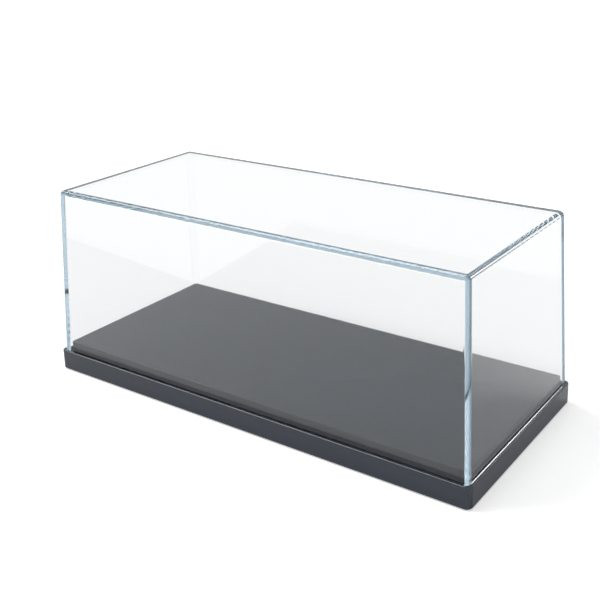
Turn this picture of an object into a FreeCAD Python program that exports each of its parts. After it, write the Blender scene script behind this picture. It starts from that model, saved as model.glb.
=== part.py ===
import FreeCAD, Part
import os

import Sketcher

# A free-standing display case for a scale model car of about 1:24. A clear moulded cover with drafted walls
# slips over a raised deck and stands in a groove between the deck and the rim of a shallow black tray. Six
# screws hold the deck down from below, and four rubber feet are let into the underside.
# Millimetres and degrees. +Z is up and +X runs along the front. The origin is the middle of the footprint,
# at the level of the feet.

SIZES = {
    # whole case
    "base_length": 245,
    "base_width": 110,
    "case_height": 100,
    # tray
    "rim_height": 10.6,
    "rim_corner_radius": 3,
    "rim_edge_radius": 0.5,
    "rim_foot_bevel": 0.4,
    "tray_wall": 2.4,
    "tray_floor": 2.2,
    "well_depth": 4.6,
    "rib_thickness": 1.6,
    "rib_relief": 1,
    "rib_pitch": 60,
    "rib_count": 4,
    # clear cover
    "cover_margin": 1.4,
    "cover_wall": 3.2,
    "cover_draft": 2.35,
    "cover_edge_radius": 2.6,
    "groove_depth": 1.3,
    "groove_clearance": 0.2,
    # deck
    "cover_clearance": 0.6,
    "deck_rise": 4.5,
    "deck_gap": 0.3,
    "deck_wall": 2.4,
    "deck_corner_radius": 1.4,
    "deck_edge_radius": 0.6,
    # deck screws
    "screw_row_spacing": 64,
    "screw_diameter": 2.9,
    "screw_length": 6.5,
    "screw_head_diameter": 5.6,
    "screw_head_height": 1.9,
    "screw_head_round": 0.9,
    "screw_point": 1.4,
    "screw_slot_length": 3,
    "screw_slot_width": 0.7,
    "screw_slot_depth": 1.1,
    "screw_hole_clearance": 0.3,
    "pilot_clearance": 0.05,
    "pilot_run_out": 0.4,
    "boss_diameter": 7,
    # feet
    "foot_diameter": 10,
    "foot_thickness": 1.4,
    "foot_proud": 0.4,
    "foot_edge_bevel": 0.3,
    "foot_inset": 13,
    "foot_clearance": 0.2,
    "foot_pad_wall": 1.6,
}

# heights above the surface that the case stands on
RIM_TOP = "(Sizes.foot_proud + Sizes.rim_height)"
COVER_SEAT = f"({RIM_TOP} - Sizes.groove_depth)"
WELL_FLOOR = f"({RIM_TOP} - Sizes.well_depth)"
TRAY_UNDERSIDE = f"({WELL_FLOOR} - Sizes.tray_floor)"
RIB_EDGE = "(Sizes.foot_proud + Sizes.rib_relief)"

# outlines
COVER_LENGTH = "(Sizes.base_length - 2 * Sizes.cover_margin)"
COVER_WIDTH = "(Sizes.base_width - 2 * Sizes.cover_margin)"
COVER_HEIGHT = f"(Sizes.case_height - {COVER_SEAT})"
DECK_INSET = "(Sizes.cover_margin + Sizes.cover_wall + Sizes.cover_clearance)"
DECK_LENGTH = f"(Sizes.base_length - 2 * {DECK_INSET})"
DECK_WIDTH = f"(Sizes.base_width - 2 * {DECK_INSET})"
DECK_HEIGHT = "(Sizes.well_depth + Sizes.deck_rise)"

# places, as distances from the middle of the case
FOOT_X = "(Sizes.base_length / 2 - Sizes.foot_inset)"
FOOT_Y = "(Sizes.base_width / 2 - Sizes.foot_inset)"
SCREW_X = "Sizes.rib_pitch"
SCREW_Y = "(Sizes.screw_row_spacing / 2)"
SCREW_PLACES = [(side, row) for side in (-1, 0, 1) for row in (-1, 1)]
FOOT_PLACES = {
    "foot_front_left": (-1, -1),
    "foot_front_right": (1, -1),
    "foot_rear_left": (-1, 1),
    "foot_rear_right": (1, 1),
}

ORIGIN_POINT = (-1, 1)
LEVEL_AXIS, UPRIGHT_AXIS = -1, -2
START, END, CENTRE = 1, 2, 3
# a sketch size's first value, until the sheet's own takes its place
UNSET = 1
TOUCH = 1e-4
MOSTLY_UPRIGHT = 0.9

doc = FreeCAD.newDocument("display_case")
sheet = doc.addObject("Spreadsheet::Sheet", "Sizes")
for row, (alias, value) in enumerate(SIZES.items(), start=1):
    sheet.set(f"A{row}", alias)
    sheet.set(f"B{row}", str(value))
    sheet.setAlias(f"B{row}", alias)
doc.recompute()


def value_of(expression):
    """The value that an expression on the sheet has now."""
    return float(sheet.evalExpression(expression.replace("Sizes.", "")))


def new_body(label):
    body = doc.addObject("PartDesign::Body", label)
    body.Label = label
    return body


def origin_plane(body, role):
    return next(plane for plane in body.Origin.OriginFeatures if plane.Role == role)


def new_sketch(body, name, role="XY_Plane", height=None):
    """A sketch on one of the body's own planes, raised to a height."""
    sketch = body.newObject("Sketcher::SketchObject", f"{body.Label}_{name}")
    sketch.AttachmentSupport = [(origin_plane(body, role), "")]
    sketch.MapMode = "FlatFace"
    if height:
        sketch.setExpression("AttachmentOffset.Base.z", height)
    return sketch


def bind(sketch, constraint, expression):
    """Adds a size to a sketch and ties it to the sheet."""
    index = sketch.addConstraint(constraint)
    sketch.renameConstraint(index, f"size_{index}")
    sketch.setExpression(f"Constraints.size_{index}", expression)


def place_point(sketch, geometry, point, side, distance, direction):
    """Holds a point at a distance to the left, right, front or rear of the middle, or on the middle line."""
    if side == 0:
        axis = UPRIGHT_AXIS if direction == "DistanceX" else LEVEL_AXIS
        sketch.addConstraint(Sketcher.Constraint("PointOnObject", geometry, point, axis))
    elif side > 0:
        bind(sketch, Sketcher.Constraint(direction, *ORIGIN_POINT, geometry, point, UNSET), distance)
    else:
        bind(sketch, Sketcher.Constraint(direction, geometry, point, *ORIGIN_POINT, UNSET), distance)


def close_loop(sketch, lines):
    for line, following in zip(lines, lines[1:] + lines[:1]):
        sketch.addConstraint(Sketcher.Constraint("Coincident", line, END, following, START))


def add_rectangle(sketch, length, width):
    """A rectangle about the middle of the sketch."""
    corners = [FreeCAD.Vector(x, y, 0) for x, y in ((-1, -1), (1, -1), (1, 1), (-1, 1))]
    sides = zip(corners, corners[1:] + corners[:1])
    lines = [sketch.addGeometry(Part.LineSegment(start, end)) for start, end in sides]
    close_loop(sketch, lines)
    front, right, rear, left = lines
    for line in (front, rear):
        sketch.addConstraint(Sketcher.Constraint("Horizontal", line))
    for line in (right, left):
        sketch.addConstraint(Sketcher.Constraint("Vertical", line))
    sketch.addConstraint(Sketcher.Constraint("Symmetric", front, START, right, END, *ORIGIN_POINT))
    bind(sketch, Sketcher.Constraint("DistanceX", front, START, front, END, UNSET), length)
    bind(sketch, Sketcher.Constraint("DistanceY", right, START, right, END, UNSET), width)


def add_circles(sketch, diameter, places, across, along):
    """Equal circles at signed places, each a side and a row of the middle."""
    up = FreeCAD.Vector(0, 0, 1)
    for side, row in places:
        start = FreeCAD.Vector(side, row, 0)
        circle = sketch.addGeometry(Part.Circle(start, up, UNSET / 2))
        bind(sketch, Sketcher.Constraint("Diameter", circle, UNSET), diameter)
        place_point(sketch, circle, CENTRE, side, across, "DistanceX")
        place_point(sketch, circle, CENTRE, row, along, "DistanceY")


def extrude(body, kind, name, sketch, length, upwards=True):
    """A Pad or Pocket of a level sketch, upwards or downwards."""
    feature = body.newObject(f"PartDesign::{kind}", f"{body.Label}_{name}")
    feature.Profile = sketch
    feature.setExpression("Length", length)
    feature.Reversed = upwards == (kind == "Pocket")
    before = body.Shape.Volume if kind == "Pocket" else 0
    doc.recompute()
    if kind == "Pocket" and body.Shape.Volume >= before:
        raise RuntimeError(f"{feature.Name} cuts nothing")
    return feature


def soften_edges(body, kind, name, size, wanted):
    """A Fillet or Chamfer of the edges of the body's last feature that the test picks."""
    base = body.Tip
    edges = [f"Edge{n}" for n, edge in enumerate(base.Shape.Edges, start=1) if wanted(edge)]
    feature = body.newObject(f"PartDesign::{kind}", f"{body.Label}_{name}")
    feature.Base = (base, edges)
    feature.setExpression("Radius" if kind == "Fillet" else "Size", size)
    doc.recompute()


def normal_of(face):
    u_low, u_high, v_low, v_high = face.ParameterRange
    return face.normalAt((u_low + u_high) / 2, (v_low + v_high) / 2)


def faces_where(feature, wanted):
    return [f"Face{n}" for n, face in enumerate(feature.Shape.Faces, start=1) if wanted(face)]


def is_upright(edge):
    first, last = (edge.valueAt(p) for p in edge.ParameterRange)
    return abs(last.z - first.z) > MOSTLY_UPRIGHT * edge.Length


def lies_at(height):
    level = value_of(height)
    return lambda edge: max(abs(v.Point.z - level) for v in edge.Vertexes) < TOUCH


def ends_on_outline(length, width):
    """A test for the edges that have an end on a rectangle about the middle."""
    half_length, half_width = value_of(length) / 2, value_of(width) / 2
    return lambda edge: any(
        abs(abs(v.Point.x) - half_length) < TOUCH or abs(abs(v.Point.y) - half_width) < TOUCH
        for v in edge.Vertexes
    )


def make_clear_cover():
    """Five drafted walls in one moulding: a block with leaning sides, shelled from below, rounded outside only."""
    body = new_body("clear_cover")
    outline = new_sketch(body, "outline", height=COVER_SEAT)
    add_rectangle(outline, COVER_LENGTH, COVER_WIDTH)
    block = extrude(body, "Pad", "block", outline, COVER_HEIGHT)

    draft = body.newObject("PartDesign::Draft", "clear_cover_draft")
    draft.Base = (block, faces_where(block, lambda face: abs(normal_of(face).z) < TOUCH))
    draft.NeutralPlane = (block, faces_where(block, lambda face: normal_of(face).z < -1 + TOUCH))
    draft.setExpression("Angle", "Sizes.cover_draft")
    doc.recompute()

    shell = body.newObject("PartDesign::Thickness", "clear_cover_shell")
    shell.Base = (draft, faces_where(draft, lambda face: normal_of(face).z < -1 + TOUCH))
    shell.setExpression("Value", "Sizes.cover_wall")
    shell.Reversed = True
    doc.recompute()

    at_top = lies_at("Sizes.case_height")
    on_outside = ends_on_outline(COVER_LENGTH, COVER_WIDTH)
    soften_edges(
        body, "Fillet", "outer_round", "Sizes.cover_edge_radius",
        lambda edge: at_top(edge) or is_upright(edge) and on_outside(edge),
    )
    return body


def make_base_tray():
    """The shallow tray: a rim, a groove for the cover, a well for the deck, and a ribbed hollow underside."""
    body = new_body("base_tray")
    outline = new_sketch(body, "outline", height="Sizes.foot_proud")
    add_rectangle(outline, "Sizes.base_length", "Sizes.base_width")
    extrude(body, "Pad", "block", outline, "Sizes.rim_height")
    on_outside = ends_on_outline("Sizes.base_length", "Sizes.base_width")

    groove = new_sketch(body, "groove", height=RIM_TOP)
    room = "2 * Sizes.groove_clearance"
    add_rectangle(groove, f"{COVER_LENGTH} + {room}", f"{COVER_WIDTH} + {room}")
    extrude(body, "Pocket", "groove_cut", groove, "Sizes.groove_depth", upwards=False)
    soften_edges(
        body, "Fillet", "groove_corners", "Sizes.cover_edge_radius",
        lambda edge: is_upright(edge) and not on_outside(edge),
    )
    soften_edges(
        body, "Fillet", "corners", "Sizes.rim_corner_radius",
        lambda edge: is_upright(edge) and on_outside(edge),
    )
    at_rim_top = lies_at(RIM_TOP)
    soften_edges(
        body, "Fillet", "rim_round", "Sizes.rim_edge_radius",
        lambda edge: at_rim_top(edge) and on_outside(edge),
    )
    soften_edges(body, "Chamfer", "foot_bevel", "Sizes.rim_foot_bevel", lies_at("Sizes.foot_proud"))

    well = new_sketch(body, "well", height=COVER_SEAT)
    add_rectangle(well, f"{DECK_LENGTH} + 2 * Sizes.deck_gap", f"{DECK_WIDTH} + 2 * Sizes.deck_gap")
    extrude(body, "Pocket", "well_cut", well, "Sizes.well_depth - Sizes.groove_depth", upwards=False)

    hollow = new_sketch(body, "hollow", height="Sizes.foot_proud")
    wall = "2 * Sizes.tray_wall"
    add_rectangle(hollow, f"Sizes.base_length - {wall}", f"Sizes.base_width - {wall}")
    extrude(body, "Pocket", "hollow_cut", hollow, f"{TRAY_UNDERSIDE} - Sizes.foot_proud")

    rib_height = f"{TRAY_UNDERSIDE} - {RIB_EDGE}"
    long_rib = new_sketch(body, "long_rib", height=RIB_EDGE)
    add_rectangle(long_rib, f"Sizes.base_length - {wall}", "Sizes.rib_thickness")
    extrude(body, "Pad", "long_rib_pad", long_rib, rib_height)

    cross_rib = new_sketch(body, "cross_rib", height=RIB_EDGE)
    add_rectangle(cross_rib, "Sizes.rib_thickness", f"Sizes.base_width - {wall}")
    span = "Sizes.rib_pitch * (Sizes.rib_count - 1)"
    cross_rib.setExpression("AttachmentOffset.Base.x", f"-{span} / 2")
    first_rib = extrude(body, "Pad", "cross_rib_pad", cross_rib, rib_height)
    ribs = body.newObject("PartDesign::LinearPattern", f"{body.Label}_cross_ribs")
    ribs.Originals = [first_rib]
    ribs.Direction = (cross_rib, ["H_Axis"])
    ribs.setExpression("Length", span)
    ribs.setExpression("Occurrences", "Sizes.rib_count")
    body.Tip = ribs
    doc.recompute()

    seat = "Sizes.foot_diameter + 2 * Sizes.foot_clearance"
    pads = new_sketch(body, "foot_pads", height="Sizes.foot_proud")
    add_circles(pads, f"{seat} + 2 * Sizes.foot_pad_wall", FOOT_PLACES.values(), FOOT_X, FOOT_Y)
    extrude(body, "Pad", "foot_pad_bosses", pads, f"{TRAY_UNDERSIDE} - Sizes.foot_proud")
    seats = new_sketch(body, "foot_seats", height="Sizes.foot_proud")
    add_circles(seats, seat, FOOT_PLACES.values(), FOOT_X, FOOT_Y)
    extrude(body, "Pocket", "foot_seat_cuts", seats, "Sizes.foot_thickness - Sizes.foot_proud")

    holes = new_sketch(body, "screw_holes", height=WELL_FLOOR)
    hole = "Sizes.screw_diameter + 2 * Sizes.screw_hole_clearance"
    add_circles(holes, hole, SCREW_PLACES, SCREW_X, SCREW_Y)
    extrude(body, "Pocket", "screw_hole_cuts", holes, "Sizes.tray_floor", upwards=False)
    return body


def make_deck_plate():
    """The raised platform: a plate with a skirt that drops into the well, and a boss for each screw."""
    body = new_body("deck_plate")
    outline = new_sketch(body, "outline", height=WELL_FLOOR)
    add_rectangle(outline, DECK_LENGTH, DECK_WIDTH)
    extrude(body, "Pad", "block", outline, DECK_HEIGHT)
    soften_edges(body, "Fillet", "corners", "Sizes.deck_corner_radius", is_upright)
    deck_top = f"{WELL_FLOOR} + {DECK_HEIGHT}"
    soften_edges(body, "Fillet", "deck_round", "Sizes.deck_edge_radius", lies_at(deck_top))

    hollow = new_sketch(body, "hollow", height=WELL_FLOOR)
    wall = "2 * Sizes.deck_wall"
    add_rectangle(hollow, f"{DECK_LENGTH} - {wall}", f"{DECK_WIDTH} - {wall}")
    extrude(body, "Pocket", "hollow_cut", hollow, f"{DECK_HEIGHT} - Sizes.deck_wall")

    bosses = new_sketch(body, "bosses", height=WELL_FLOOR)
    add_circles(bosses, "Sizes.boss_diameter", SCREW_PLACES, SCREW_X, SCREW_Y)
    extrude(body, "Pad", "screw_bosses", bosses, f"{DECK_HEIGHT} - Sizes.deck_wall")
    pilots = new_sketch(body, "pilots", height=WELL_FLOOR)
    pilot = "Sizes.screw_diameter + 2 * Sizes.pilot_clearance"
    add_circles(pilots, pilot, SCREW_PLACES, SCREW_X, SCREW_Y)
    reach = "Sizes.screw_length - Sizes.tray_floor + Sizes.pilot_run_out"
    extrude(body, "Pocket", "pilot_cuts", pilots, reach)
    return body


def make_screw():
    """One pan-head screw on the Z axis, point up, with the underside of its head at zero."""
    body = new_body("deck_screw")
    profile = new_sketch(body, "profile", role="XZ_Plane")
    rough_outline = [(0, -2), (1, -2), (3, -1), (3, 0), (1.5, 0), (1.5, 5), (0, 6)]
    points = [FreeCAD.Vector(x, y, 0) for x, y in rough_outline]
    sides = zip(points, points[1:] + points[:1])
    lines = [profile.addGeometry(Part.LineSegment(start, end)) for start, end in sides]
    close_loop(profile, lines)
    crown, shoulder, brim, seat, shank, point, axis = lines
    for line in (crown, seat):
        profile.addConstraint(Sketcher.Constraint("Horizontal", line))
    for line in (brim, shank, axis):
        profile.addConstraint(Sketcher.Constraint("Vertical", line))
    profile.addConstraint(Sketcher.Constraint("PointOnObject", axis, START, UPRIGHT_AXIS))
    profile.addConstraint(Sketcher.Constraint("PointOnObject", seat, START, LEVEL_AXIS))
    middle = (crown, START)
    brim_edge = (seat, START)
    for direction, first, last, length in (
        ("DistanceX", middle, brim_edge, "Sizes.screw_head_diameter / 2"),
        ("DistanceX", middle, (seat, END), "Sizes.screw_diameter / 2"),
        ("DistanceY", middle, brim_edge, "Sizes.screw_head_height"),
        ("DistanceX", (shoulder, START), (shoulder, END), "Sizes.screw_head_round"),
        ("DistanceY", (shoulder, START), (shoulder, END), "Sizes.screw_head_round"),
        ("DistanceY", brim_edge, (axis, START), "Sizes.screw_length"),
        ("DistanceY", (point, START), (point, END), "Sizes.screw_point"),
    ):
        bind(profile, Sketcher.Constraint(direction, *first, *last, UNSET), length)
    turned = body.newObject("PartDesign::Revolution", "deck_screw_turned")
    turned.Profile = profile
    turned.ReferenceAxis = (profile, ["V_Axis"])
    turned.Angle = 360
    doc.recompute()
    for name, length, width in (
        ("slot", "Sizes.screw_slot_length", "Sizes.screw_slot_width"),
        ("cross_slot", "Sizes.screw_slot_width", "Sizes.screw_slot_length"),
    ):
        slot = new_sketch(body, name, height="-Sizes.screw_head_height")
        add_rectangle(slot, length, width)
        extrude(body, "Pocket", f"{name}_cut", slot, "Sizes.screw_slot_depth")
    return body


def make_deck_screws():
    """The six screws, set with their heads against the underside of the tray's floor."""
    screw = make_screw()
    copies = []
    for number, (side, row) in enumerate(SCREW_PLACES, start=1):
        copy = doc.addObject("App::Link", f"deck_screw_{number}")
        copy.LinkedObject = screw
        copy.setExpression("Placement.Base.x", f"{side} * {SCREW_X}")
        copy.setExpression("Placement.Base.y", f"{row} * {SCREW_Y}")
        copy.setExpression("Placement.Base.z", TRAY_UNDERSIDE)
        copies.append(copy)
    group = doc.addObject("Part::Compound", "deck_screws")
    group.Label = "deck_screws"
    group.Links = copies
    return group


def make_foot(label, side, row):
    """A round rubber foot with a bevelled lower edge, let into its seat under the tray."""
    body = new_body(label)
    body.setExpression("Placement.Base.x", f"{side} * {FOOT_X}")
    body.setExpression("Placement.Base.y", f"{row} * {FOOT_Y}")
    disc = new_sketch(body, "disc")
    add_circles(disc, "Sizes.foot_diameter", [(0, 0)], "0", "0")
    extrude(body, "Pad", "disc_pad", disc, "Sizes.foot_thickness")
    soften_edges(body, "Chamfer", "lower_bevel", "Sizes.foot_edge_bevel", lies_at("0"))
    return body


parts = [make_clear_cover(), make_base_tray(), make_deck_plate(), make_deck_screws()]
parts += [make_foot(label, *place) for label, place in FOOT_PLACES.items()]
doc.recompute()

for item in doc.Objects:
    if {"Invalid", "Error"} & set(item.State):
        raise RuntimeError(f"{item.Label} failed: {item.State}")
for part in parts:
    if part.Shape.isNull() or not part.Shape.isValid():
        raise RuntimeError(f"{part.Label} has no sound shape")

os.makedirs("parts", exist_ok=True)
for part in parts:
    part.Shape.exportStep(f"parts/{part.Label}.step")
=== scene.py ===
import math

import bpy
from mathutils import Matrix, Vector


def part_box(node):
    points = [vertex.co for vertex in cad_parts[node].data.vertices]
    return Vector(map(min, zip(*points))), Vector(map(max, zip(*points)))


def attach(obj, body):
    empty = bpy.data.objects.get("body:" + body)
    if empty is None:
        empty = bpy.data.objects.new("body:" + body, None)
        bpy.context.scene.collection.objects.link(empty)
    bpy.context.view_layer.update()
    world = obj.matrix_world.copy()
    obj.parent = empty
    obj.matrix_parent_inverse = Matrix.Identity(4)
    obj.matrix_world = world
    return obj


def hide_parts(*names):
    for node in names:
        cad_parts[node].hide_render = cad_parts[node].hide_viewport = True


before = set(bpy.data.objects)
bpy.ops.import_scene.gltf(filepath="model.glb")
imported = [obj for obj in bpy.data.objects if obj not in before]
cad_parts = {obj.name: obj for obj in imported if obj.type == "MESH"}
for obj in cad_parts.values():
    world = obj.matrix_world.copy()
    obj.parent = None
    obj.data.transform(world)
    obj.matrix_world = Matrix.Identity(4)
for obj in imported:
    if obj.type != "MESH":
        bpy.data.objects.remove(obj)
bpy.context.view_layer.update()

MM = 0.001
UP = Vector((0, 0, 1))
FEET = ("foot_front_left", "foot_front_right", "foot_rear_left", "foot_rear_right")

# The clear cover, in millimetres and radians. Its outside is rounded and its inside corners are left sharp
# from the mould core, which is what makes the long edges carry light and show as pale blue bars. It is drawn
# a hair above the floor of its groove, so that the two faces don't lie in one plane.
COVER_DRAFT = math.radians(2.35)
COVER_WALL = 3.2
COVER_EDGE = 2.6
COVER_INNER_EDGE = 0.12
COVER_REST_GAP = 0.04
COVER_ARC_STEPS = 20
COVER_WALL_ROWS = 40

# The deck screws, in millimetres, after the CAD screws that they stand for, and their columns and rows.
SCREW_SIZES = {
    "Head Diameter": 5.6,
    "Head Height": 1.9,
    "Thread Diameter": 2.9,
    "Thread Depth": 0.42,
    "Thread Pitch": 1.1,
    "Shank Length": 6.5,
    "Point Length": 1.5,
    "Point Width": 0.1,
    "Recess Length": 3.0,
    "Recess Width": 0.7,
    "Recess Depth": 1.1,
    "Column Spacing": 60.0,
    "Row Spacing": 64.0,
    "Seat Height": 4.2,
}
SCREW_COLUMNS = 3
SCREW_ROWS = 2
SCREW_ROUND_STEPS = 28
SCREW_LENGTH_STEPS = 84
SCREW_SHARP_ANGLE = math.radians(40)
HEAD_BOW_POWER = 3.0
HEAD_CROWN_SHARE = 0.08

# The radius of a screw at each height, step by step: a name for the result, the operation, and what it works
# on. The head bows in from its brim to its crown. Above the seat a ridge climbs one pitch each turn, and then
# the shank runs out to the point.
SCREW_STEPS = (
    ("Whole Length", "ADD", "Head Height", "Shank Length"),
    ("Half Length", "MULTIPLY", "Whole Length", 0.5),
    ("Lift", "SUBTRACT", "Half Length", "Head Height"),
    ("Height", "ADD", "Z", "Lift"),
    ("Head Radius", "MULTIPLY", "Head Diameter", 0.5),
    ("Drop", "MULTIPLY", "Height", -1.0),
    ("Drop Share", "DIVIDE", "Drop", "Head Height"),
    ("Bow", "POWER", "Drop Share", HEAD_BOW_POWER),
    ("Bow Left", "SUBTRACT", 1.0, "Bow"),
    ("Bow Kept", "MAXIMUM", "Bow Left", HEAD_CROWN_SHARE),
    ("Bow Share", "SQRT", "Bow Kept"),
    ("Head", "MULTIPLY", "Head Radius", "Bow Share"),
    ("Angle", "ARCTAN2", "Y", "X"),
    ("Turn", "DIVIDE", "Angle", 2 * math.pi),
    ("Pitches", "DIVIDE", "Height", "Thread Pitch"),
    ("Climb", "SUBTRACT", "Pitches", "Turn"),
    ("Valley", "PINGPONG", "Climb", 0.5),
    ("Valley Share", "MULTIPLY", "Valley", 2.0),
    ("Valley Depth", "MULTIPLY", "Valley Share", "Thread Depth"),
    ("Thread Radius", "MULTIPLY", "Thread Diameter", 0.5),
    ("Threaded", "SUBTRACT", "Thread Radius", "Valley Depth"),
    ("To Point", "SUBTRACT", "Shank Length", "Height"),
    ("To End", "ADD", "To Point", "Point Width"),
    ("Taper", "DIVIDE", "To End", "Point Length"),
    ("Taper Kept", "MINIMUM", "Taper", 1.0),
    ("Shank", "MULTIPLY", "Threaded", "Taper Kept"),
    ("Above Seat", "GREATER_THAN", "Height", 0.0),
    ("Below Seat", "SUBTRACT", 1.0, "Above Seat"),
    ("Shank Part", "MULTIPLY", "Shank", "Above Seat"),
    ("Head Part", "MULTIPLY", "Head", "Below Seat"),
    ("Radius", "ADD", "Shank Part", "Head Part"),
    ("Turned X", "MULTIPLY", "X", "Radius"),
    ("Turned Y", "MULTIPLY", "Y", "Radius"),
    ("Cut Depth", "MULTIPLY", "Recess Depth", 2.0),
    ("Crown Height", "MULTIPLY", "Head Height", -1.0),
    ("Grid Length", "MULTIPLY", "Column Spacing", SCREW_COLUMNS - 1.0),
    ("Grid Width", "MULTIPLY", "Row Spacing", SCREW_ROWS - 1.0),
)

# The surroundings light the case softly, and they are white where they are seen: straight from the camera, in
# a reflection or through the clear cover.
WORLD_LIGHT = 0.62
WORLD_SEEN = 1.0
# What is added to the floor to hold it at white for the camera, and the little of it that shows in a
# reflection or through the clear cover. The floor reaches this many metres each way.
FLOOR_LIFT = 0.42
FLOOR_LIFT_IN_CLEAR = 0.04
FLOOR_REACH = 5.0
# Light goes up and down inside the clear walls many times before it leaves an edge.
LIGHT_BOUNCES = 72
# name, direction, strength and spread in degrees
LAMPS = (
    ("left_lamp", (-0.56, -0.1, 0.82), 1.8, 32),
    ("rear_lamp", (0.2, 0.8, 0.57), 0.1, 12),
)

# The photograph's camera: pixels of a square image, then degrees, then millimetres.
IMAGE_SIDE = 600
FOCAL_LENGTH = 964.57
IMAGE_CENTRE_X = 330
IMAGE_CENTRE_Y = 200
CAMERA_YAW = 34.65
CAMERA_PITCH = 16.74
CAMERA_ROLL = -1.18
CAMERA_PLACE = (270.39, -364.25, 235.86)
SENSOR_WIDTH = 36.0


def linear(code):
    """An sRGB hex colour as the linear RGBA that a socket takes."""
    parts = [int(code[at:at + 2], 16) / 255 for at in (1, 3, 5)]
    return [p / 12.92 if p <= 0.04045 else ((p + 0.055) / 1.055) ** 2.4 for p in parts] + [1.0]


def add(tree, kind, settings):
    """Adds a node. A setting is a property, or an input by name or place, with a value or another output."""
    node = tree.nodes.new(kind)
    for key, value in settings.items():
        if isinstance(key, str) and key not in node.inputs:
            setattr(node, key, value)
        elif isinstance(value, bpy.types.NodeSocket):
            tree.links.new(value, node.inputs[key])
        else:
            node.inputs[key].default_value = value
    return node


def per_mm(size):
    """A texture's scale, for a pattern of this size in millimetres."""
    return 1 / (size * MM)


def new_material(name):
    material = bpy.data.materials.new(name)
    material.use_nodes = True
    material.node_tree.nodes.clear()
    return material, material.node_tree


# Black moulded ABS: near black with a cold cast and a satin gloss. Both drift slowly with the flow of the
# melt, over the fine grain of the mould. That grain is about 0.1 mm on the real plastic, too fine to show
# here, so it is drawn six times as coarse. The deck is made duller than the rim, and mirrors less.
def make_black_abs(name, dark, light, smooth, dull, level, grain_depth):
    material, tree = new_material(name)
    place = add(tree, "ShaderNodeTexCoord", {}).outputs["Object"]
    flow = add(tree, "ShaderNodeTexNoise", {"Scale": per_mm(34), "Detail": 2.0, "Vector": place}).outputs[0]
    colour = add(
        tree, "ShaderNodeMix", {"data_type": "RGBA", 0: flow, 6: linear(dark), 7: linear(light)}
    ).outputs[2]
    gloss = add(tree, "ShaderNodeMapRange", {"Value": flow, "To Min": smooth, "To Max": dull}).outputs[0]
    grain = add(tree, "ShaderNodeTexNoise", {"Scale": per_mm(0.6), "Detail": 3.0, "Vector": place}).outputs[0]
    bump = add(
        tree, "ShaderNodeBump", {"Strength": 1.0, "Distance": grain_depth * MM, "Height": grain}
    ).outputs[0]
    shader = add(
        tree, "ShaderNodeBsdfPrincipled",
        {"IOR": 1.54, "Specular IOR Level": level, "Base Color": colour, "Roughness": gloss, "Normal": bump},
    ).outputs[0]
    add(tree, "ShaderNodeOutputMaterial", {"Surface": shader})
    return material


# Clear polystyrene from a polished mould. The walls look all but colourless, and only light that has run a
# long way inside them, along an edge or a corner, comes out pale blue. The skin is very slightly wavy. The
# plastic's own IOR is 1.59, matched down to 1.5 because the walls mirrored too much of the floor over the
# deck.
def make_clear_polystyrene():
    material, tree = new_material("clear_polystyrene_moulded")
    place = add(tree, "ShaderNodeTexCoord", {}).outputs["Object"]
    sink = add(tree, "ShaderNodeTexNoise", {"Scale": per_mm(16), "Detail": 1.0, "Vector": place}).outputs[0]
    wave = add(tree, "ShaderNodeBump", {"Strength": 1.0, "Distance": 0.012 * MM, "Height": sink}).outputs[0]
    shader = add(
        tree, "ShaderNodeBsdfPrincipled",
        {
            "Base Color": linear("#ffffff"), "IOR": 1.5, "Roughness": 0.03, "Transmission Weight": 1.0,
            "Normal": wave,
        },
    ).outputs[0]
    tint = add(tree, "ShaderNodeVolumeAbsorption", {"Color": linear("#9ecadd"), "Density": 7.5}).outputs[0]
    add(tree, "ShaderNodeOutputMaterial", {"Surface": shader, "Volume": tint})
    return material


# Steel wire, cold headed and thread rolled, then bright zinc plated: a cool white metal with a fine cloudy
# haze where the plating crystals vary.
def make_zinc_plated_steel():
    material, tree = new_material("steel_zinc_plated")
    place = add(tree, "ShaderNodeTexCoord", {}).outputs["Object"]
    haze = add(tree, "ShaderNodeTexNoise", {"Scale": per_mm(0.8), "Detail": 3.0, "Vector": place}).outputs[0]
    colour = add(
        tree, "ShaderNodeMix", {"data_type": "RGBA", 0: haze, 6: linear("#aeb3b9"), 7: linear("#c9cdd2")}
    ).outputs[2]
    gloss = add(tree, "ShaderNodeMapRange", {"Value": haze, "To Min": 0.26, "To Max": 0.42}).outputs[0]
    bump = add(tree, "ShaderNodeBump", {"Strength": 1.0, "Distance": 0.004 * MM, "Height": haze}).outputs[0]
    shader = add(
        tree, "ShaderNodeBsdfPrincipled",
        {"Metallic": 1.0, "Base Color": colour, "Roughness": gloss, "Normal": bump},
    ).outputs[0]
    add(tree, "ShaderNodeOutputMaterial", {"Surface": shader})
    return material


# Synthetic rubber die cut from sheet: matt charcoal with a faint pebble and a trace of bloom.
def make_foot_rubber():
    material, tree = new_material("rubber_die_cut")
    place = add(tree, "ShaderNodeTexCoord", {}).outputs["Object"]
    pebble = add(tree, "ShaderNodeTexVoronoi", {"Scale": per_mm(0.5), "Vector": place}).outputs[0]
    bloom = add(tree, "ShaderNodeTexNoise", {"Scale": per_mm(5), "Detail": 2.0, "Vector": place}).outputs[0]
    colour = add(
        tree, "ShaderNodeMix", {"data_type": "RGBA", 0: bloom, 6: linear("#161616"), 7: linear("#232324")}
    ).outputs[2]
    gloss = add(tree, "ShaderNodeMapRange", {"Value": bloom, "To Min": 0.72, "To Max": 0.9}).outputs[0]
    bump = add(tree, "ShaderNodeBump", {"Strength": 1.0, "Distance": 0.03 * MM, "Height": pebble}).outputs[0]
    shader = add(
        tree, "ShaderNodeBsdfPrincipled",
        {"IOR": 1.52, "Base Color": colour, "Roughness": gloss, "Normal": bump},
    ).outputs[0]
    add(tree, "ShaderNodeOutputMaterial", {"Surface": shader})
    return material


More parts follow.
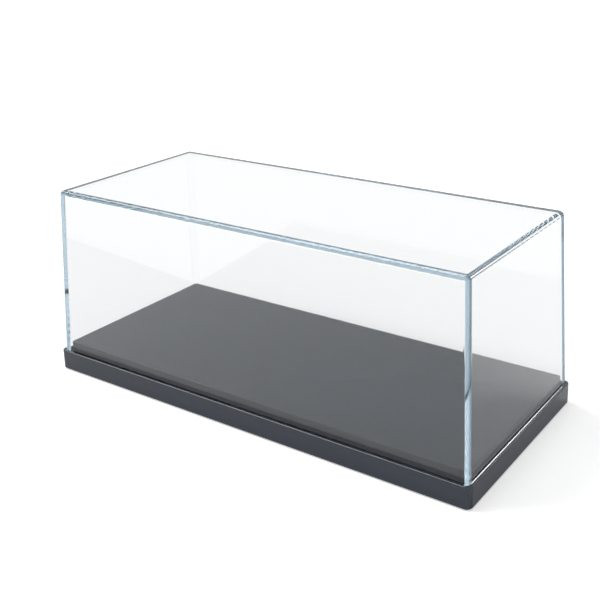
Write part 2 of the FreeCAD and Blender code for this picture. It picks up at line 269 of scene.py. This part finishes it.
def dress(node, material):
    """Gives a CAD node its finish."""
    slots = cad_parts[node].data.materials
    slots.clear()
    slots.append(material)


def swing(start, end, share):
    """A direction the given share of the way round from one direction to another."""
    angle = start.angle(end)
    return (start * math.sin((1 - share) * angle) + end * math.sin(share * angle)) / math.sin(angle)


def cover_skin(radius, depth, bottom):
    """One skin of the cover, as rows of (place, normal) from its open end up to the four corners of its top.

    The skin lies at a radius from a core whose faces are at a depth below the cover's outer faces.
    """
    low, high = (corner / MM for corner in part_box("clear_cover"))
    lean = math.sin(COVER_DRAFT)
    walls = [
        Vector((math.cos(turn) * math.cos(COVER_DRAFT), math.sin(turn) * math.cos(COVER_DRAFT), lean))
        for turn in (math.radians(90 * side) for side in range(4))
    ]
    crown = high.z - depth

    def core(sign_x, sign_y, z):
        inset = (depth + (z - low.z) * lean) / math.cos(COVER_DRAFT)
        return Vector((sign_x * (high.x - inset), sign_y * (high.y - inset), z))

    rows = [[] for _ in range(COVER_WALL_ROWS + 1 + COVER_ARC_STEPS)]
    for side, (sign_x, sign_y) in enumerate(((1, 1), (-1, 1), (-1, -1), (1, -1))):
        peak = core(sign_x, sign_y, crown)
        for step in range(COVER_ARC_STEPS + 1):
            out = swing(walls[side], walls[(side + 1) % 4], step / COVER_ARC_STEPS)
            rise = radius * out.z
            for number in range(COVER_WALL_ROWS + 1):
                z = bottom + (crown + rise - bottom) * number / COVER_WALL_ROWS
                rows[number].append((core(sign_x, sign_y, z - rise) + radius * out, out))
            for turn in range(1, COVER_ARC_STEPS):
                over = swing(out, UP, turn / COVER_ARC_STEPS)
                rows[COVER_WALL_ROWS + turn].append((peak + radius * over, over))
        rows[-1].append((peak + radius * UP, UP))
    return rows


def make_cover(material):
    """The cover as one closed moulding: an outer skin, an inner skin and the ring that it stands on."""
    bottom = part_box("clear_cover")[0].z / MM + COVER_REST_GAP
    outer = cover_skin(COVER_EDGE, COVER_EDGE, bottom)
    inner = cover_skin(COVER_INNER_EDGE, COVER_WALL + COVER_INNER_EDGE, bottom)
    spots, faces, normals, rims = [], [], [], []

    def add_face(corners, sign):
        corners = list(dict.fromkeys(corners))[::sign]
        faces.append([number for number, _ in corners])
        normals.extend(tuple(sign * part for part in normal) for _, normal in corners)

    corner_spots = COVER_ARC_STEPS + 1
    for rows, sign in ((outer, 1), (inner, -1)):
        table = []
        for row in rows:
            table.append([(len(spots) + at, tuple(normal)) for at, (_, normal) in enumerate(row)])
            spots.extend(place * MM for place, _ in row)
        rims.append(table[0])
        around = len(table[0])
        for below, above in zip(table, table[1:]):
            share = corner_spots if len(above) < around else 1
            for at in range(around):
                after = (at + 1) % around
                add_face([below[at], below[after], above[after // share], above[at // share]], sign)
        add_face(table[-1], sign)
    outer_rim, inner_rim = rims
    for at in range(around):
        after = (at + 1) % around
        ring = [outer_rim[after], outer_rim[at], inner_rim[at], inner_rim[after]]
        faces.append([number for number, _ in ring])
        normals.extend(tuple(-UP) for _ in ring)

    mesh = bpy.data.meshes.new("cover_moulding")
    mesh.from_pydata(spots, [], faces)
    mesh.normals_split_custom_set(normals)
    mesh.materials.append(material)
    cover = bpy.data.objects.new("cover_moulding", mesh)
    bpy.context.scene.collection.objects.link(cover)
    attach(cover, "cover")
    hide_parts("clear_cover")


def screw_tree(material):
    """Geometry Nodes for the deck screws: a fine tube turned to its radius, a cross recess, and a grid."""
    tree = bpy.data.node_groups.new("deck_screw_grid", "GeometryNodeTree")
    for name in SCREW_SIZES:
        tree.interface.new_socket(name, in_out="INPUT", socket_type="NodeSocketFloat")
    tree.interface.new_socket("Geometry", in_out="OUTPUT", socket_type="NodeSocketGeometry")
    inputs = add(tree, "NodeGroupInput", {}).outputs
    spot = add(tree, "GeometryNodeInputPosition", {}).outputs[0]
    axes = add(tree, "ShaderNodeSeparateXYZ", {0: spot}).outputs
    size = {name: inputs[name] for name in SCREW_SIZES} | {axis: axes[axis] for axis in "XYZ"}
    for name, operation, *terms in SCREW_STEPS:
        terms = {place: size.get(term, term) for place, term in enumerate(terms)}
        size[name] = add(tree, "ShaderNodeMath", {"operation": operation, **terms}).outputs[0]

    tube = add(
        tree, "GeometryNodeMeshCylinder",
        {
            "Vertices": SCREW_ROUND_STEPS, "Side Segments": SCREW_LENGTH_STEPS, "Radius": 1.0,
            "Depth": size["Whole Length"],
        },
    ).outputs["Mesh"]
    turned_spot = add(
        tree, "ShaderNodeCombineXYZ", {0: size["Turned X"], 1: size["Turned Y"], 2: size["Height"]}
    ).outputs[0]
    turned = add(tree, "GeometryNodeSetPosition", {"Geometry": tube, "Position": turned_spot}).outputs[0]

    # the cross recess is cut twice as deep as it shows, so that its outer half clears the crown
    cross = add(tree, "GeometryNodeMeshBoolean", {"operation": "UNION"})
    for x, y in (("Recess Length", "Recess Width"), ("Recess Width", "Recess Length")):
        bar_size = add(
            tree, "ShaderNodeCombineXYZ", {0: size[x], 1: size[y], 2: size["Cut Depth"]}
        ).outputs[0]
        bar = add(tree, "GeometryNodeMeshCube", {"Size": bar_size}).outputs["Mesh"]
        tree.links.new(bar, cross.inputs["Mesh 2"])
    crown = add(tree, "ShaderNodeCombineXYZ", {2: size["Crown Height"]}).outputs[0]
    recess = add(
        tree, "GeometryNodeTransform", {"Geometry": cross.outputs["Mesh"], "Translation": crown}
    ).outputs[0]
    screw = add(
        tree, "GeometryNodeMeshBoolean", {"operation": "DIFFERENCE", "Mesh 1": turned, "Mesh 2": recess}
    ).outputs["Mesh"]

    grid = add(
        tree, "GeometryNodeMeshGrid",
        {
            "Vertices X": SCREW_COLUMNS, "Vertices Y": SCREW_ROWS, "Size X": size["Grid Length"],
            "Size Y": size["Grid Width"],
        },
    ).outputs["Mesh"]
    seat = add(tree, "ShaderNodeCombineXYZ", {2: size["Seat Height"]}).outputs[0]
    places = add(tree, "GeometryNodeTransform", {"Geometry": grid, "Translation": seat}).outputs[0]
    screws = add(tree, "GeometryNodeInstanceOnPoints", {"Points": places, "Instance": screw}).outputs[0]
    real = add(tree, "GeometryNodeRealizeInstances", {"Geometry": screws}).outputs[0]
    plated = add(tree, "GeometryNodeSetMaterial", {"Material": material, "Geometry": real}).outputs[0]
    add(tree, "NodeGroupOutput", {"Geometry": plated})
    return tree


def make_deck_screws(material):
    """The six screws, from their Geometry Nodes to one plain mesh."""
    tree = screw_tree(material)
    holder = bpy.data.objects.new("deck_screws_turned", bpy.data.meshes.new("deck_screws_turned"))
    bpy.context.scene.collection.objects.link(holder)
    rows = holder.modifiers.new("screws", "NODES")
    rows.node_group = tree
    for item in tree.interface.items_tree:
        if item.in_out == "INPUT":
            rows[item.identifier] = SCREW_SIZES[item.name] * MM
    graph = bpy.context.evaluated_depsgraph_get()
    mesh = bpy.data.meshes.new_from_object(holder.evaluated_get(graph))
    bpy.data.objects.remove(holder)
    for face in mesh.polygons:
        face.use_smooth = True
    mesh.set_sharp_from_angle(angle=SCREW_SHARP_ANGLE)
    screws = bpy.data.objects.new("deck_screws_threaded", mesh)
    bpy.context.scene.collection.objects.link(screws)
    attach(screws, "base")
    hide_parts("deck_screws")


def make_floor():
    """White studio paper. It takes the case's shadow, and a lift on what is seen of it holds it at white."""
    mesh = bpy.data.meshes.new("studio_floor")
    corners = [(x * FLOOR_REACH, y * FLOOR_REACH, 0) for x, y in ((-1, -1), (1, -1), (1, 1), (-1, 1))]
    mesh.from_pydata(corners, [], [(0, 1, 2, 3)])
    floor = bpy.data.objects.new("studio_floor", mesh)
    bpy.context.scene.collection.objects.link(floor)
    material, tree = new_material("paper_white_matt")
    place = add(tree, "ShaderNodeTexCoord", {}).outputs["Object"]
    fibre = add(tree, "ShaderNodeTexNoise", {"Scale": per_mm(1.5), "Detail": 2.0, "Vector": place}).outputs[0]
    bump = add(tree, "ShaderNodeBump", {"Strength": 1.0, "Distance": 0.01 * MM, "Height": fibre}).outputs[0]
    paper = add(tree, "ShaderNodeBsdfDiffuse", {"Color": linear("#f3f3f3"), "Normal": bump}).outputs[0]
    path = add(tree, "ShaderNodeLightPath", {}).outputs
    in_clear = add(
        tree, "ShaderNodeMath",
        {"operation": "MAXIMUM", 0: path["Is Glossy Ray"], 1: path["Is Transmission Ray"]},
    ).outputs[0]
    faint = add(tree, "ShaderNodeEmission", {"Strength": FLOOR_LIFT_IN_CLEAR}).outputs[0]
    full = add(tree, "ShaderNodeEmission", {"Strength": FLOOR_LIFT}).outputs[0]
    lift = add(tree, "ShaderNodeMixShader", {0: in_clear, 2: faint}).outputs[0]
    lift = add(tree, "ShaderNodeMixShader", {0: path["Is Camera Ray"], 1: lift, 2: full}).outputs[0]
    both = add(tree, "ShaderNodeAddShader", {0: paper, 1: lift}).outputs[0]
    add(tree, "ShaderNodeOutputMaterial", {"Surface": both})
    mesh.materials.append(material)


def make_light():
    """Soft white surroundings, with one broad lamp high on the left and a smaller one behind."""
    world = bpy.data.worlds.new("studio")
    bpy.context.scene.world = world
    world.use_nodes = True
    tree = world.node_tree
    tree.nodes.clear()
    path = add(tree, "ShaderNodeLightPath", {}).outputs
    seen = path["Is Camera Ray"]
    for kind in ("Is Glossy Ray", "Is Transmission Ray"):
        seen = add(tree, "ShaderNodeMath", {"operation": "MAXIMUM", 0: seen, 1: path[kind]}).outputs[0]
    light, white = (
        add(tree, "ShaderNodeBackground", {"Color": linear("#ffffff"), "Strength": strength}).outputs[0]
        for strength in (WORLD_LIGHT, WORLD_SEEN)
    )
    sky = add(tree, "ShaderNodeMixShader", {0: seen, 1: light, 2: white}).outputs[0]
    add(tree, "ShaderNodeOutputWorld", {"Surface": sky})
    for name, towards, energy, spread in LAMPS:
        lamp = bpy.data.lights.new(name, "SUN")
        lamp.energy = energy
        lamp.angle = math.radians(spread)
        stand = bpy.data.objects.new(name, lamp)
        bpy.context.scene.collection.objects.link(stand)
        stand.rotation_euler = Vector(towards).to_track_quat("Z", "Y").to_euler()


def make_camera():
    """The photograph's view, from the right of the front and above."""
    yaw, pitch, roll = (math.radians(angle) for angle in (CAMERA_YAW, CAMERA_PITCH, CAMERA_ROLL))
    lens = bpy.data.cameras.new("photo_camera")
    lens.sensor_width = SENSOR_WIDTH
    lens.lens = FOCAL_LENGTH / IMAGE_SIDE * SENSOR_WIDTH
    lens.shift_x = 0.5 - IMAGE_CENTRE_X / IMAGE_SIDE
    lens.shift_y = IMAGE_CENTRE_Y / IMAGE_SIDE - 0.5
    lens.clip_start = 10 * MM
    camera = bpy.data.objects.new("photo_camera", lens)
    camera.matrix_world = (
        Matrix.Translation(Vector(CAMERA_PLACE) * MM)
        @ Matrix.Rotation(yaw, 4, "Z")
        @ Matrix.Rotation(math.radians(90) - pitch, 4, "X")
        @ Matrix.Rotation(roll, 4, "Z")
    )
    bpy.context.scene.collection.objects.link(camera)
    bpy.context.scene.camera = camera


def let_light_run():
    """Lets light bounce on inside the clear walls until it comes out at an edge."""
    paths = bpy.context.scene.cycles
    paths.max_bounces = LIGHT_BOUNCES
    paths.glossy_bounces = LIGHT_BOUNCES
    paths.transmission_bounces = LIGHT_BOUNCES


rim_abs = make_black_abs(
    "abs_black_moulded", dark="#131f2e", light="#182636", smooth=0.07, dull=0.1, level=0.55, grain_depth=0.002
)
deck_abs = make_black_abs(
    "abs_black_satin_moulded", dark="#12202f", light="#162636", smooth=0.14, dull=0.2, level=0.13,
    grain_depth=0.003,
)
foot_rubber = make_foot_rubber()
dress("base_tray", rim_abs)
dress("deck_plate", deck_abs)
for foot in FEET:
    dress(foot, foot_rubber)
make_cover(make_clear_polystyrene())
make_deck_screws(make_zinc_plated_steel())
make_floor()
make_light()
make_camera()
let_light_run()
bpy.context.scene.view_settings.view_transform = "Standard"
